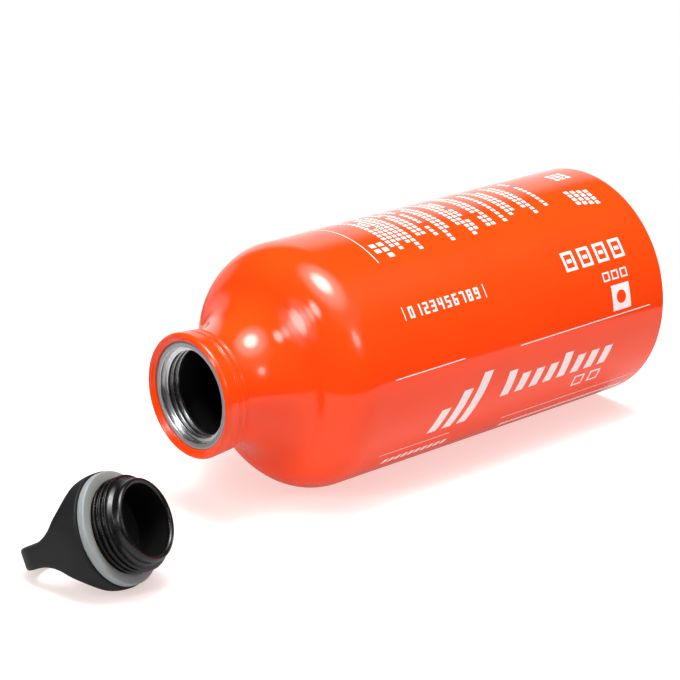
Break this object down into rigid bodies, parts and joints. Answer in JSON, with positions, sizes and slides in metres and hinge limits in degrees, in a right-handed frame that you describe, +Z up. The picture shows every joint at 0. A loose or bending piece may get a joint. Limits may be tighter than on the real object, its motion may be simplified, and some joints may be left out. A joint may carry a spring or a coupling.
{
  "type": "camping fuel bottle",
  "caption": "Round aluminium camping fuel bottle with a domed shoulder and a threaded neck, lying on its side with its screw cap and carrying loop taken off beside the mouth.",
  "frame": {"origin": "where the barrel touches the floor, straight below the middle of the bottle's length", "axes": "+X along the bottle axis towards the base, so the mouth faces -X; +Y across the floor away from the cap's side of the bottle; +Z up"},
  "size_m": [0.2209, 0.0742, 0.073],
  "materials": {
    "orange_coating": "gloss",
    "turned_aluminium": "satin",
    "matte_black_plastic": "matte",
    "gloss_black_plastic": "gloss",
    "silicone": "satin"
  },
  "bodies": {
    "bottle": {"bottle_shell": "orange_coating", "neck_thread_insert": "turned_aluminium"},
    "cap": {"cap_loop_cover": "matte_black_plastic", "cap_thread_plug": "gloss_black_plastic", "cap_gasket": "silicone"}
  },
  "joints": [
    {"name": "cap_lift", "type": "slide", "parent": "bottle", "child": "cap", "axis": [0, 0, 1], "range_m": [0, 0.12]}
  ]
}
